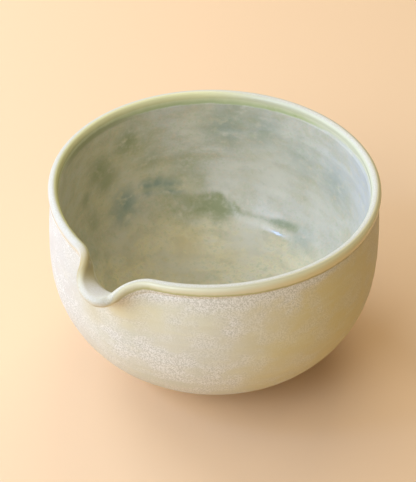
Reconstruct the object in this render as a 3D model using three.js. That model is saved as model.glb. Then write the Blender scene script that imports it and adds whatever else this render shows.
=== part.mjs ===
// A hand-thrown stoneware tea bowl with a pulled pouring lip, on a turned foot ring.
// Units are millimetres, +Z is up, and the table is the plane z = 0.
// The pouring lip points along -Y. The origin is the middle of the bowl's footprint, so the
// bowl's own axis stands a little behind it.
import * as THREE from "three";

// Overall sizes, measured over the glaze. The belly stands out a little past the rim.
const rimDiameter = 120;
const bowlHeight = 78;
const bellyBulge = 1;
const bellyHeight = 49.5;

// Lip: a rounded bead, with a shallow neck below it outside and inside.
const lipThickness = 3.6;
const neckInset = 0.6;
const neckThickness = 3.4;
const outerNeckDrop = 4.6;
const innerNeckDrop = 5;

// Wall and floor. The fullness is a superellipse's exponent: 2 is a round, more is squarer.
const bellyThickness = 4.4;
const floorThickness = 6;
const outerFullness = 2.3;
const innerFullness = 2.4;

// Foot ring, under the flat seat that is turned on the base of the body. The seat is wider than
// the top of the ring by the margin.
const footHeight = 5;
const footDiameter = 53;
const footTaper = 1.5;
const footWidth = 5;
const footEdgeRadius = 0.8;
const seatMargin = 2;

// Glaze coats. The seat is the clearance between a coat and the clay, and between two coats.
const glazeThickness = 0.7;
const glazeSeat = 0.3;

// Pouring lip, as it is drawn out of the rim. Its left side, towards -X, is the rounder one.
const spoutReach = 12;
const leftTipRadius = 12;
const leftShoulderRadius = 10;
const rightTipRadius = 5;
const rightShoulderRadius = 13.5;
const spoutFlare = 12;
const spoutDip = 4.1;
const rimSag = 2.6;
const rimSagSpread = THREE.MathUtils.degToRad(40);
const rimSagDepth = 20;

// Facets.
const columns = 64;
const columnCrowding = 1.6;
const evenCircleLength = 22;
const wallSteps = 7;
const upperWallSteps = 3;
const neckSteps = 2;
const crestSteps = 6;
const creaseMargin = 1e-3;

const rimRadius = rimDiameter / 2;
const bellyRadius = rimRadius + bellyBulge;
const footRadius = footDiameter / 2;
const lipRadius = lipThickness / 2;
const middleRadius = rimRadius - lipRadius;
const lipCentre = new THREE.Vector2(middleRadius, bowlHeight - lipRadius);
const outerNeck = new THREE.Vector2(rimRadius - neckInset, bowlHeight - outerNeckDrop);
const innerNeck = new THREE.Vector2(outerNeck.x - neckThickness, bowlHeight - innerNeckDrop);
const belly = new THREE.Vector2(bellyRadius, bellyHeight);
const base = new THREE.Vector2(footRadius + footTaper + seatMargin, footHeight);
const innerBelly = new THREE.Vector2(bellyRadius - bellyThickness, bellyHeight);
const floorCentre = new THREE.Vector2(0, footHeight + floorThickness);

// The round lower part of the bowl in section, from one point of a superellipse to another.
class RoundWall extends THREE.Curve {
  constructor(widest, drop, fullness, startAngle, endAngle) {
    super();
    Object.assign(this, { widest, drop, fullness, startAngle, endAngle });
  }

  getPoint(along, target = new THREE.Vector2()) {
    const angle = THREE.MathUtils.lerp(this.startAngle, this.endAngle, along);
    const power = 2 / this.fullness;
    return target.set(
      this.widest.x * Math.max(Math.cos(angle), 0) ** power,
      this.widest.y - this.drop * Math.sin(angle) ** power,
    );
  }
}

// A shallow curve between two points that is upright at one of them.
function leaning(from, to, upright) {
  const control = new THREE.Vector2(upright.x, (from.y + to.y) / 2);
  return new THREE.QuadraticBezierCurve(from, control, to);
}

// The lip's glaze stops a seat's width above the wall's glaze.
const seated = (point) => point.clone().add(new THREE.Vector2(0, glazeSeat));

// The glazed surface in section, from the foot over the lip to the middle of the floor.
function outerWallCurves() {
  const share = (base.x / belly.x) ** outerFullness;
  const drop = (belly.y - base.y) / (1 - share) ** (1 / outerFullness);
  const baseAngle = Math.acos(Math.sqrt(share));
  return [
    new RoundWall(belly, drop, outerFullness, baseAngle, 0),
    leaning(belly, outerNeck, belly),
  ];
}

function lipCurves() {
  const outside = new THREE.Vector2(rimRadius, lipCentre.y);
  const inside = new THREE.Vector2(rimRadius - lipThickness, lipCentre.y);
  const crest = new THREE.EllipseCurve(
    lipCentre.x, lipCentre.y, lipRadius, lipRadius, 0, Math.PI, false,
  );
  return [
    leaning(seated(outerNeck), outside, outside),
    crest,
    leaning(inside, seated(innerNeck), inside),
  ];
}

function innerWallCurves() {
  const fall = innerBelly.y - floorCentre.y;
  return [
    leaning(innerNeck, innerBelly, innerBelly),
    new RoundWall(innerBelly, fall, innerFullness, 0, Math.PI / 2),
  ];
}

// Points along the curves, each moved into the wall by the given depth.
function sectionPoints(curves, steps, depth) {
  const points = [];
  curves.forEach((curve, part) => {
    for (let step = part ? 1 : 0; step <= steps[part]; step += 1) {
      const along = step / steps[part];
      const point = curve.getPointAt(along);
      const tangent = curve.getTangentAt(along);
      points.push(new THREE.Vector2(point.x - tangent.y * depth, point.y + tangent.x * depth));
    }
  });
  return points;
}

const outerSteps = [wallSteps, upperWallSteps];
const lipSteps = [neckSteps, crestSteps, neckSteps];
const innerSteps = [upperWallSteps, wallSteps];

// Solid of revolution about +Z from a closed section of (radius, height) points.
function turned(section) {
  const geometry = new THREE.LatheGeometry(section, columns);
  return geometry.rotateX(Math.PI / 2);
}

// One side of the rim's middle line, seen from above: the tip of the pouring lip, the shoulder
// that bends the other way, and then the round rim as far as the back.
function rimSide(tipRadius, shoulderRadius) {
  const tip = middleRadius + spoutReach - tipRadius;
  const out = middleRadius + shoulderRadius;
  const between = tipRadius + shoulderRadius;
  const start = Math.acos((out ** 2 + tip ** 2 - between ** 2) / (2 * out * tip));
  const shoulder = new THREE.Vector2(out * Math.sin(start), -out * Math.cos(start));
  const turn = Math.atan2(shoulder.x, -shoulder.y - tip);
  const side = new THREE.Path();
  side.absarc(0, -tip, tipRadius, -Math.PI / 2, turn - Math.PI / 2, false);
  side.absarc(shoulder.x, shoulder.y, shoulderRadius, turn + Math.PI / 2, start + Math.PI / 2, true);
  side.absarc(0, 0, middleRadius, start - Math.PI / 2, Math.PI / 2, false);
  return side;
}

const leftSide = rimSide(leftTipRadius, leftShoulderRadius);
const rightSide = rimSide(rightTipRadius, rightShoulderRadius);

// The rim's middle line, and the plain circle it is drawn out of, at a turn from -1 to 1 from the
// back, round the left, the pouring lip and the right, to the back again.
function rimLine(turn) {
  const sign = Math.sign(turn);
  const side = turn < 0 ? leftSide : rightSide;
  const share = Math.min(Math.abs(turn), 1) ** columnCrowding;
  const rim = side.getPoint(share);
  const length = side.getLength();
  const spare = length - Math.PI * middleRadius;
  const gained = (1 - Math.exp(-share * length / evenCircleLength))
    / (1 - Math.exp(-length / evenCircleLength));
  const angle = sign * (share * length - spare * gained) / middleRadius;
  const circle = new THREE.Vector2(Math.sin(angle), -Math.cos(angle)).multiplyScalar(middleRadius);
  const out = THREE.MathUtils.clamp((rim.length() - middleRadius) / spoutReach, 0, 1);
  rim.x = Math.abs(rim.x) * sign;
  return { rim, circle, out, sag: rimSag * Math.exp(-((angle / rimSagSpread) ** 2)) };
}

// How far down the wall the pouring lip and the sag of the rim reach: 1 at the rim, and nothing
// at the foot.
const flared = (depth) => (1 + depth / spoutFlare) ** -2;
const sagging = (depth) => Math.exp(-((depth / rimSagDepth) ** 2));

function faded(law, depth) {
  const least = law(lipCentre.y - footHeight);
  return (law(depth) - least) / (1 - least);
}

// The middle surface of the wall, at a turn round the bowl and a height.
function middleSurface(turn, height) {
  const { rim, circle, out, sag } = rimLine(turn);
  const depth = Math.max(lipCentre.y - height, 0);
  const reach = faded(flared, depth);
  const flat = circle.lerp(rim, reach);
  return new THREE.Vector3(flat.x, flat.y, height - spoutDip * out * reach - sag * faded(sagging, depth));
}

// Draws the pouring lip out of a turned piece. The wall keeps its thickness, because each point
// keeps its distance from the middle surface. Towards the foot the wall stands upright again.
function pullSpout(geometry) {
  const position = geometry.getAttribute("position");
  const step = 1e-4;
  for (let index = 0; index < position.count; index += 1) {
    const x = position.getX(index);
    const y = position.getY(index);
    const z = position.getZ(index);
    const radius = Math.hypot(x, y);
    if (radius < 1e-6) {
      continue;
    }
    const turn = Math.atan2(x, -y) / Math.PI;
    const height = Math.min(z, lipCentre.y);
    const upright = (1 - faded(flared, lipCentre.y - height)) ** 4;
    const here = middleSurface(turn, height);
    const rising = here.clone().sub(middleSurface(turn, height - step)).normalize();
    rising.lerp(new THREE.Vector3(0, 0, 1), upright).normalize();
    const along = middleSurface(turn + step, height).sub(middleSurface(turn - step, height));
    const square = along.cross(rising).normalize();
    here.addScaledVector(square, radius - middleRadius);
    here.addScaledVector(rising, z - height);
    position.setXYZ(index, here.x, here.y, here.z);
  }
  return creased(geometry);
}

// Splits each four-sided facet along its shorter diagonal, so that a coat and the clay under it
// bend along the same creases and keep their clearance.
function creased(geometry) {
  const position = geometry.getAttribute("position");
  const point = (index) => new THREE.Vector3().fromBufferAttribute(position, index);
  const faces = geometry.getIndex();
  for (let corner = 0; corner < faces.count; corner += 6) {
    const [a, b, d, c] = [0, 1, 2, 3].map((step) => faces.getX(corner + step));
    const across = point(b).distanceTo(point(d));
    if (point(a).distanceTo(point(c)) < across - creaseMargin) {
      [a, b, c, a, c, d].forEach((index, step) => faces.setX(corner + step, index));
    }
  }
  return geometry;
}

function closed(section) {
  return [...section, section[0].clone()];
}

// A glaze coat over part of the section, drawn out with the pouring lip.
function coat(curves, steps) {
  const surface = sectionPoints(curves, steps, 0);
  const back = sectionPoints(curves, steps, glazeThickness).reverse();
  return pullSpout(turned(closed([...surface, ...back])));
}

// The inside coat has no hole in the middle of the floor.
function flooredCoat(curves, steps) {
  const surface = sectionPoints(curves, steps, 0);
  const back = sectionPoints(curves, steps, glazeThickness).reverse();
  surface[surface.length - 1].x = 0;
  back[0].x = 0;
  return pullSpout(turned([...back, ...surface]));
}

function named(name, geometry, material) {
  const mesh = new THREE.Mesh(geometry, material);
  mesh.name = name;
  return mesh;
}

function clayBody() {
  const depth = glazeThickness + glazeSeat;
  const skin = [
    ...sectionPoints(outerWallCurves(), outerSteps, depth),
    ...sectionPoints(lipCurves(), lipSteps, depth).slice(1),
    ...sectionPoints(innerWallCurves(), innerSteps, depth).slice(1),
  ];
  skin[skin.length - 1].x = 0;
  const seatEdge = new THREE.Vector2(base.x - glazeThickness, footHeight);
  return pullSpout(turned([new THREE.Vector2(0, footHeight), seatEdge, ...skin]));
}

function footRing() {
  const outer = footRadius;
  const inner = outer - footWidth;
  const edge = footEdgeRadius;
  const section = new THREE.Shape();
  section.moveTo(inner + edge, 0);
  section.lineTo(outer - edge, 0);
  section.absarc(outer - edge, edge, edge, -Math.PI / 2, 0, false);
  section.lineTo(outer + footTaper, footHeight);
  section.lineTo(inner - footTaper, footHeight);
  section.lineTo(inner, edge);
  section.absarc(inner + edge, edge, edge, Math.PI, Math.PI * 1.5, false);
  return turned(closed(section.getPoints(2).slice(0, -1)));
}

const clay = new THREE.MeshStandardMaterial({ color: 0xb9a689, roughness: 0.85, metalness: 0 });
const matteGlaze = new THREE.MeshStandardMaterial({ color: 0xd8d1c2, roughness: 0.65, metalness: 0 });
const insideGlaze = new THREE.MeshStandardMaterial({ color: 0xc0bca6, roughness: 0.4, metalness: 0 });
const glossGlaze = new THREE.MeshStandardMaterial({ color: 0xd6cda6, roughness: 0.18, metalness: 0 });

const bowl = new THREE.Group();
bowl.add(
  named("clay_body", clayBody(), clay),
  named("foot_ring", footRing(), clay),
  named("outer_glaze", coat(outerWallCurves(), outerSteps), matteGlaze),
  named("inner_glaze", flooredCoat(innerWallCurves(), innerSteps), insideGlaze),
  named("rim_glaze", coat(lipCurves(), lipSteps), glossGlaze),
);

// The origin is the middle of the footprint, which the pouring lip lengthens on one side.
const footprint = new THREE.Box3().setFromObject(bowl);
bowl.position.y = -(footprint.min.y + footprint.max.y) / 2;

export default bowl;
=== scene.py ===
import math

import bmesh
import bpy
import numpy as np
from mathutils import Matrix, Vector


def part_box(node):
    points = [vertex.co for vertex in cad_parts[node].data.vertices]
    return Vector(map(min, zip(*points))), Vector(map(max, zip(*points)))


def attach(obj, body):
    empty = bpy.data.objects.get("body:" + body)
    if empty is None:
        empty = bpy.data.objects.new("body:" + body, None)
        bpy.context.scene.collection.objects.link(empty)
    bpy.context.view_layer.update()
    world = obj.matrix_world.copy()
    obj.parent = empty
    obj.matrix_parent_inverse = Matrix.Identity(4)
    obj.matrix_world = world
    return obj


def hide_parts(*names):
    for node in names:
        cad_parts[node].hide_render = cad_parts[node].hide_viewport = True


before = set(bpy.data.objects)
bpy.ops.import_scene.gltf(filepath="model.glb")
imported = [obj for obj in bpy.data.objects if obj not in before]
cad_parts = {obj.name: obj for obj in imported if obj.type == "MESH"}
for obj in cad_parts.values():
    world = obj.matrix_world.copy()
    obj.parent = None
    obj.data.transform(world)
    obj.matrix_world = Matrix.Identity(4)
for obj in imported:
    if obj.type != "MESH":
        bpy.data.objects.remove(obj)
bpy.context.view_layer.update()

MM = 0.001

# Sizes over the glaze, from the plain solids.
FOOT_LOW, FOOT_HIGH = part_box("foot_ring")
LIP_LOW, LIP_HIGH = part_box("rim_glaze")
AXIS_Y = (FOOT_LOW.y + FOOT_HIGH.y) / 2
FOOT_HEIGHT = FOOT_HIGH.z
RIM_RADIUS = LIP_HIGH.x
HEIGHT = LIP_HIGH.z
BELLY_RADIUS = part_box("outer_glaze")[1].x

# The turned section. The fullness is a superellipse's exponent.
BELLY_HEIGHT = 49.5 * MM
OUTER_FULLNESS = 2.3
INNER_FULLNESS = 2.4
SEAT_RADIUS = 30 * MM
LIP_RADIUS = 1.8 * MM
NECK_INSET = 0.6 * MM
NECK_THICKNESS = 3.4 * MM
OUTER_NECK_DROP = 4.6 * MM
INNER_NECK_DROP = 5 * MM
BELLY_THICKNESS = 4.4 * MM
FLOOR_THICKNESS = 6 * MM
GLAZE = 0.7 * MM
CLEARANCE = 0.3 * MM

MIDDLE_RADIUS = RIM_RADIUS - LIP_RADIUS
BEAD_HEIGHT = HEIGHT - LIP_RADIUS
WALL_DEPTH = BEAD_HEIGHT - FOOT_HEIGHT

# The pouring lip: the radii of its left and right sides at the lip, and of the channel below.
# The margin keeps its tip inside the plain solids' box.
LIP_TIP_RADII = (12 * MM, 5 * MM)
LIP_SHOULDER_RADII = (10 * MM, 13.5 * MM)
CHANNEL_TIP_RADII = (10 * MM, 9 * MM)
CHANNEL_SHOULDER_RADII = (11 * MM, 13 * MM)
CHANNEL_DEPTH = 5 * MM
SPOUT_MARGIN = 0.05 * MM
SPOUT_REACH = AXIS_Y - LIP_LOW.y - RIM_RADIUS - SPOUT_MARGIN
SPOUT_DIP = 4.1 * MM
SPOUT_FLARE = 12 * MM
RIM_SAG = 2.6 * MM
RIM_SAG_SPREAD = math.radians(40)
RIM_SAG_DEPTH = 20 * MM
UPRIGHT_POWER = 4

# The camera, as the photograph was taken. Angles are about the middle of the rim.
CAMERA_AZIMUTH = math.radians(33.5)
CAMERA_ELEVATION = math.radians(36.12)
CAMERA_PITCH = math.radians(38.85)
CAMERA_YAW = math.radians(0.315)
CAMERA_ROLL = math.radians(0.852)
CAMERA_DISTANCE = 480 * MM
CAMERA_LENS = 99.43
CAMERA_CLIP = 10 * MM

# Fineness of the meshes.
COLUMNS = 480
SECTION_STEP = 0.7 * MM
BEAD_STEPS = 28
LEAN_POINTS = 60
LEAN_SKIP = 8
OUTER_POINTS = 300
INNER_POINTS = 400
BACK_SKIP = 3
BODY_SKIP = 2
BEAD_SKIP = 2
EVENING_ROUNDS = 24
COLUMN_CROWDING = 1.6
CIRCLE_EASE = 22 * MM
TINY = 0.001 * MM
SHARP_ANGLE = math.radians(50)

# Marks of the wheel: rings, with finer ones between them.
INSIDE_RING_DEPTH = 0.05 * MM
INSIDE_RING_PITCH = 7.5 * MM
OUTSIDE_RING_DEPTH = 0.03 * MM
OUTSIDE_RING_PITCH = 5.2 * MM
FINE_RING_SHARE = 0.5
FINE_RING_PITCH_SHARE = 0.63
FINE_RING_PHASE = 1.3
RING_FADE = 6 * MM
MARKLESS_RADIUS = 6 * MM

# The hand's unevenness: a slight oval, and a slight triangle that twists with the height.
WOBBLE = 0.072 * MM
OVAL_PHASE = 0.6
TRIANGLE_SHARE = 0.7
TRIANGLE_PHASE = -1.1
TRIANGLE_TWIST = 25 * MM

# The ridge that a finger left inside. Angles are from the pouring lip, in degrees. A span says where
# something begins, is full, begins to fade and has gone.
RIDGE_SPAN = (-200, -188, -132, -96)
RIDGE_HIGH_HEIGHT = 32.3 * MM
RIDGE_LOW_HEIGHT = 25.3 * MM
RIDGE_STEP_ANGLE = -154.5
RIDGE_STEP_SPREAD = 6.5
HIGH_CLIMB_START = -139
HIGH_CLIMB = 0.14 * MM
LOW_CLIMB_START = -175
LOW_CLIMB = 0.07 * MM
RIDGE_WIDTH = 1.3 * MM
RIDGE_RISE = 0.22 * MM
HOLLOW_SHARE = 0.5
HOLLOW_DROP = 2.4 * RIDGE_WIDTH
HOLLOW_WIDTH = 2.6 * RIDGE_WIDTH

# The green line along the ridge, which is thin and weak part of the way.
LINE_SPAN = (-193, -188, -159, -150)
LINE_WEAK_SPAN = (-179, -173, -162, -156)
LINE_WEAKNESS = 0.45
LINE_LIFT = 0.4 * MM
LINE_WIDTH = 1.5 * MM
LINE_THINNING = 0.5 * MM

# The green glaze that pooled below the ridge, and the pale painted highlight along its crest.
POND_SPAN = (-162, -153, -124, -106)
POND_FADING = (-150, -126)
POND_FADE = 0.6
POND_TOP = (-1.2 * MM, 2.2 * MM)
POND_FOOT = (22 * MM, 26.5 * MM)
PALE_SPAN = (-146, -128, -116, -104)
PALE_SHARE = 0.5
PALE_LIFT = 1.0 * MM
PALE_WIDTH = 1.5 * MM

# Values stored on the glaze, for its colours.
CREST = "crest_distance"
POOL_AND_HIGHLIGHT = "pooled_glaze_and_painted_highlight"

# The foot ring.
FOOT_TAPER = 1.5 * MM
FOOT_WIDTH = 5 * MM
FOOT_EDGE = 0.8 * MM
FOOT_ROUNDING = 0.3

# Light and floor. Lamps stand to the right of, beyond and above the bowl, as the camera sees it.
FLOOR_SIZE = 6
FLOOR_COLOUR = (0.79, 0.54, 0.32, 1)
FLOOR_ROUGHNESS = 0.7
WORLD_COLOUR = (1.0, 0.89, 0.72, 1)
WORLD_STRENGTH = 0.16
DAYLIGHT = (0.85, 0.98, 1.2)
ROOM_LIGHT = (1.12, 1.0, 0.74)
SKY = (0.4, 0.75, 1.6)
LAMPS = (
    ("window_front", (-0.50, -0.55, 0.60), (0.5, 0.5), 4.5, DAYLIGHT),
    ("window_middle", (-0.80, 0.0, 0.42), (0.5, 0.5), 3.7, DAYLIGHT),
    ("window_back", (-0.55, 0.50, 0.60), (0.5, 0.5), 4.4, DAYLIGHT),
    ("room_back", (0.1, 0.65, 0.72), (0.5, 0.5), 2.2, ROOM_LIGHT),
    ("room_front", (-0.1, -0.9, 0.55), (0.6, 0.6), 1.5, ROOM_LIGHT),
    ("ceiling", (0.0, 0.0, 1.0), (0.8, 0.8), 1.8, ROOM_LIGHT),
    ("skylight", (-0.60, -0.21, 0.72), (0.15, 0.12), 0.8, SKY),
)


def colour(red, green, blue):
    """A colour from its screen values, 0 to 255."""
    def linear(value):
        share = value / 255
        return share / 12.92 if share <= 0.04045 else ((share + 0.055) / 1.055) ** 2.4
    return (linear(red), linear(green), linear(blue), 1.0)


# Colours, from their screen values.
WALL_CREAM = colour(206, 203, 183)
WALL_GREENISH = colour(202, 202, 184)
WALL_PALE = colour(221, 216, 181)
WALL_LILAC = colour(201, 196, 190)
WALL_OCHRE = colour(213, 198, 140)
# The next colour paints shade under the pouring lip's right shoulder, and also tints one darker ochre
# patch of glaze.
WALL_PAINTED_SHADE_AND_STAIN = colour(190, 176, 130)
GRAIN_DARK = colour(192, 190, 177)
GRAIN_PALE = colour(233, 231, 224)
INSIDE_OLIVE = colour(202, 194, 157)
INSIDE_GREY = colour(192, 190, 178)
INSIDE_DARK = colour(183, 178, 148)
INSIDE_PALE = colour(208, 205, 189)
INSIDE_FLOOR = colour(228, 216, 170)
# Painted sheen: the bluish reflection on the inner wall below the lip.
INSIDE_PAINTED_SHEEN = colour(184, 187, 190)
HUE_GREEN = colour(180, 185, 150)
HUE_BROWN = colour(206, 190, 163)
STAIN_GREEN = colour(142, 148, 106)
STAIN_TEAL = colour(122, 144, 134)
STAIN_OCHRE = colour(204, 188, 140)
# Painted shade for the fold in the neck below the lip, on one side.
NECK_PAINTED_SHADE = colour(156, 158, 114)
LIP_CREAM = colour(213, 207, 174)
LIP_GOLD = colour(225, 213, 162)
LIP_YELLOW = colour(222, 216, 164)
LIP_GREY = colour(202, 200, 172)
LIP_GREEN = colour(192, 194, 150)
LIP_DEEP_GREEN = colour(170, 177, 130)
LIP_OLIVE = colour(196, 191, 134)
LIP_MARGIN = colour(192, 194, 150)
LIP_WARM_MARGIN = colour(214, 203, 176)
LIP_PALE = colour(198, 193, 181)
LIP_GOLD_MARGIN = colour(198, 184, 128)
LIP_CREASE = colour(182, 173, 140)
LIP_CREST = colour(200, 196, 186)
LIP_CHANNEL = colour(199, 193, 184)
LIP_TIP = colour(220, 206, 158)
LIP_SHOULDER = colour(172, 154, 106)
LIP_LINE = colour(164, 158, 104)
CLAY_DARK = colour(178, 150, 118)
CLAY_PALE = colour(196, 170, 136)
CLAY_SPECK = colour(120, 92, 66)

# In the finishes lengths are in millimetres, apart from the bumps. A side is a direction across the
# bowl, and limits along it say how far a colour reaches. A pair of limits says where something starts
# to show and where it is full. A noise has the width of its features, its detail, its roughness and,
# where it needs one, its stretch. A bend has the width of its waves and how far they move the place.
BEND_DETAIL = 3

# The glaze outside.
WALL_BEND = (14, 8)
WALL_CLOUDS = (24, 4, 0.5, (1, 1, 1.5))
WALL_STREAKS = (6, 4, 0.6, (0.5, 0.5, 2.2))
OCHRE_SIDE = (1, 0, 0)
OCHRE_RAGGEDNESS = 24
OCHRE_LIMITS = (42, 74)
GREENISH_LIMITS = (0.4, 0.65)
LILAC_SIDE = (-0.9, -0.43, 0)
LILAC_LIMITS = (30, 52)
LILAC_SHARE = 0.85
STREAK_LIMITS = (0.5, 0.75)
STREAK_SHARE = 0.3
SMOOTH_WALL_ROUGHNESS = 0.5
GRAINY_WALL_ROUGHNESS = 0.68

# The pale grain in that glaze, and its fringe below the band on the lip.
GRAIN = (0.55, 3, 0.6)
GRAIN_LIMITS = (0.4, 0.6)
GRAIN_SHARE = 0.8
GRAIN_PATCHES = (9, 4, 0.6, (1, 1, 1.3))
GRAIN_PATCH_LIMITS = (0.35, 0.65)
LEAST_GRAIN = 0.38
LEAST_PATCH = 0.4
OCHRE_SMOOTHNESS = 0.3
GRAINY_LIMITS = (0.0, 0.9)
FRINGE_LIMITS = (3.6, 0.8)
WIDE_FRINGE_LIMITS = (9, 1)
WIDE_FRINGE_SHARE = 0.5
FRINGE_END = (62, 40)
THIN_FRINGE_LIMITS = (5, -30)
THIN_FRINGE_LOSS = -0.6

# Clouds in the glaze outside, and painted shade: the middle, the radius and how strong it is.
PALE_CLOUDS = (
    ((3, -61, 62), 13, 0.8),
    ((15, -59, 62), 13, 0.7),
    ((29, -53, 64), 14, 0.4),
)
# The first of these is painted shade in the fold under the pouring lip's right shoulder; the second is a
# darker ochre patch in the glaze.
PAINTED_SHADE_AND_STAIN_CLOUDS = (
    ((5, -60, 68), 5.5, 0.9),
    ((-9, -60, 54), 9, 0.45),
)
GRAINY_CLOUDS = (
    ((2, -61, 45), 15, 1.0),
    ((13, -60, 44), 16, 1.0),
    ((24, -55, 38), 17, 1.0),
    ((35, -49, 34), 17, 0.9),
    ((23, -48, 22), 18, 1.0),
    ((38, -47, 61), 14, 0.7),
    ((52, -30, 66), 13, 0.7),
    ((57, -18, 58), 13, 0.5),
    ((48, -36, 64), 11, 0.6),
    ((-30, -53, 45), 36, 0.7),
)

# Stains in the glaze inside, and patches of painted sheen: the middle, the radius and how strong it is.
GREEN_STAINS = (
    ((-56, 4, 55), 11, 0.8),
    ((-56, 7, 49), 10, 0.7),
    ((-56, -5, 47), 6, 0.6),
    ((-54, -5, 36), 7, 0.5),
    ((-54, 18, 62), 11, 0.8),
    ((-52, 21, 60), 15, 0.4),
    ((-50, 27, 50), 9, 0.5),
    ((-36, 41, 38), 9, 0.4),
    ((-41, 39, 44), 12, 0.5),
    ((-50, -12, 29), 14, 0.3),
    ((-34, 32, 27), 12, 0.45),
    ((-25, 40, 25), 8, 0.6),
    ((-22, 51, 73), 12, 0.4),
)
TEAL_STAINS = (
    ((-49, 25, 38), 6.5, 0.9),
    ((-46.5, 29, 37), 6.5, 0.9),
    ((-44, 32, 36), 6.5, 0.9),
    ((-41, 34, 35), 6, 0.7),
    ((-52, 14, 35), 10, 0.8),
    ((-52, 10, 32), 9, 0.6),
    ((-28, 49, 62), 16, 0.5),
    ((-14, 55, 63), 15, 0.4),
    ((3, 56, 55), 16, 0.3),
    ((22, 52, 52), 16, 0.35),
    ((12, 46, 24), 10, 0.4),
)
PALE_STAINS = (
    ((-8, 55, 43), 22, 0.8),
    ((-24, 48, 38), 13, 0.7),
    ((-54, 14, 43), 14, 0.5),
    ((14, 53, 38), 18, 0.5),
    ((-9, 39, 19), 15, 0.8),
    ((-46, 4, 23), 14, 0.6),
    ((-27, 13, 15), 20, 0.8),
)
# Painted sheen: the bluish reflection of the window on the inner wall's far right, below the lip.
PAINTED_SHEEN_PATCHES = (
    ((42, 38, 66), 34, 0.8),
    ((24, 51, 60), 22, 0.5),
)
OCHRE_STAINS = (
    ((-29, 24, 18), 12, 0.6),
    ((-12, 30, 15), 12, 0.4),
)
INSIDE_STAINS_AND_SHEEN = (
    (PALE_STAINS, INSIDE_PALE),
    (OCHRE_STAINS, STAIN_OCHRE),
    (PAINTED_SHEEN_PATCHES, INSIDE_PAINTED_SHEEN),
    (TEAL_STAINS, STAIN_TEAL),
    (GREEN_STAINS, STAIN_GREEN),
)
STAIN_AND_SHEEN_BEND = (8, 4)
STAIN_AND_SHEEN_BREAKS = (3.6, 3, 0.5, (1, 1, 1.3))
STAIN_AND_SHEEN_BREAK_LIMITS = (0.2, 0.56)

# The glaze inside. Its streaks follow the wheel, along the section.
INSIDE_BEND = (16, 12)
INSIDE_CLOUDS = (20, 4, 0.55)
GREY_SIDE = (0.5, 0.85, 0.2)
GREY_LEAN = 0.006
GREY_LIMITS = (0.35, 0.75)
FLOOR_LIMITS = (-50, -66)
FLOOR_SHARE = 0.8
WHEEL_STRETCH = 0.6
STREAKS = (7, 3, 0.5)
MOTTLES = (6, 3, 0.55)
HUES = (1.6, 3, 0.6, (1, 1, 1.2))
INSIDE_GRAIN = (0.8, 2, 0.6)

# The noises that colour it, one over the other: which one, its limits, its share and its tint.
INSIDE_LAYERS = (
    ("streaks", (0.54, 0.34), 0.6, INSIDE_DARK),
    ("streaks", (0.48, 0.7), 0.6, INSIDE_PALE),
    ("mottles", (0.5, 0.3), 0.4, INSIDE_DARK),
    ("mottles", (0.5, 0.7), 0.4, INSIDE_PALE),
    ("hues", (0.5, 0.7), 0.55, HUE_GREEN),
    ("hues", (0.5, 0.3), 0.55, HUE_BROWN),
    ("grain", (0.42, 0.7), 0.3, INSIDE_PALE),
)

# Painted shade, darker olive, in the neck on one side, what pooled along the finger's ridge, and the
# painted highlight on its crest.
NECK_SIDE = (-1, 0.03, 0)
NECK_SIDE_LIMITS = (47, 57)
NECK_TOP = (-3.8, -4.6)
NECK_END = (-7.4, -5.6)
NECK_SHARE = 0.85
POOL_BREAKS = 1.2
POOL_LIMITS = (0.0, 1.3)
POOL_SHARE = 0.95
PAINTED_HIGHLIGHT_LIMITS = (0, -0.9)
PAINTED_HIGHLIGHT_SHARE = 0.7
POOLED_GLOSS = ((1, 46, 23), 12)
POOLED_GLOSS_LIMITS = (0.3, 0.0)
POOLED_GLOSS_ROUGHNESS = 0.13
STREAK_ROUGHNESS = (0.32, 0.46)
NECK_ROUGHNESS = 0.65
NECK_ROUGHNESS_LIMITS = (-9, -6)

# The edges of the band of glaze on the lip. Outside it widens towards one side of the bowl, and
# inside it is wider in the channel and at the back.
BAND_WAVES = (5, 4, 0.6)
BAND_WAVE_HEIGHT = 1.4
BAND_WIDE_SIDE = (0.985, 0.17, 0)
BAND_NARROWEST = -3
BAND_EDGE = 3.8
BAND_WIDENING = 0.035
BAND_OUTER_LIMITS = (0.5, -0.3)
BAND_INNER_LIMITS = (-5.0, -4.1)
BAND_CHANNEL_WIDENING = 4.0
BAND_BACK_WIDENING = 1.2
BAND_BACK_LIMITS = (34, 52)
CHANNEL_PATCH = ((-2, -67, 71), 17)

# The band's colours inside: yellow, olive or grey, with green along its lower edge.
SOFT_WAVES = (5, 3, 0.5)
BAND_YELLOW_SIDE = (-0.97, 0.26, 0)
BAND_YELLOW_LIMITS = (26, 50)
BAND_OLIVE_SIDE = (-0.64, -0.77, 0)
BAND_OLIVE_LIMITS = (34, 58)
BAND_GREEN_SIDE = (-0.5, 0.87, 0)
DEEP_GREEN_SIDE_LIMITS = (26, 48)
DEEP_GREEN_LIMITS = (-3.8, -5.4)
GREEN_LIMITS = (-2.2, -4.4)
GREEN_SHARE = 0.85
GREEN_END = (26, 8)

# Its colours outside: pale, cream or gold, with a crease, a margin and a line along its lower edge.
GOLD_LIMITS = (28, 58)
CREAM_LIMITS = (-24, 6)
CREASE_DISTANCE = 0.95
CREASE_LIMITS = (0.6, 0.1)
CREASE_SHARE = 0.5
MARGIN_LIMITS = (-1.5, -0.6)
MARGIN_SHARE = 0.9
WARM_MARGIN_END = (-14, 8)
LINE_LIMITS = (-1.0, -0.2)
LINE_END = (-34, 10)
LINE_SHARE = 0.7

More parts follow.
